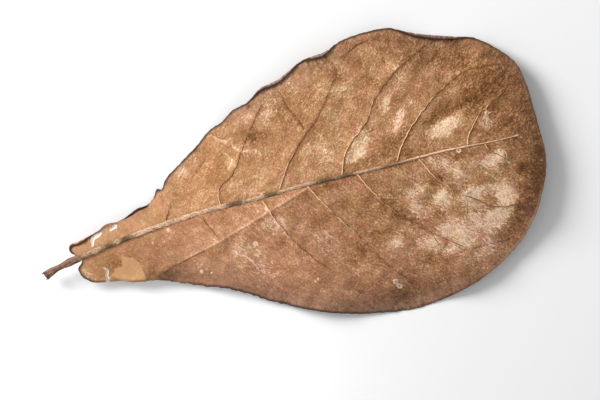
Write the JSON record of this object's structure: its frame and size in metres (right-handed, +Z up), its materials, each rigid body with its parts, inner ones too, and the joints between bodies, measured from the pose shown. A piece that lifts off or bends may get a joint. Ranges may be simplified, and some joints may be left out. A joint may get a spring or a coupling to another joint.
{
  "type": "indian almond leaf",
  "caption": "Dried broad obovate leaf lying underside up, with a cut stalk, a raised midrib with side veins, a curled, wavy margin and small tears near the base.",
  "frame": {"origin": "on the surface that the leaf lies on, under the middle of its bounding box", "axes": "+X along the leaf from the cut end of the stalk to the round tip, +Y across it, +Z up from the surface, towards the leaf's underside, which faces up"},
  "size_m": [0.2404, 0.1296, 0.0172],
  "materials": {
    "dried_leaf": "matte"
  },
  "bodies": {
    "root": {"leaf": "dried_leaf"}
  },
  "joints": []
}
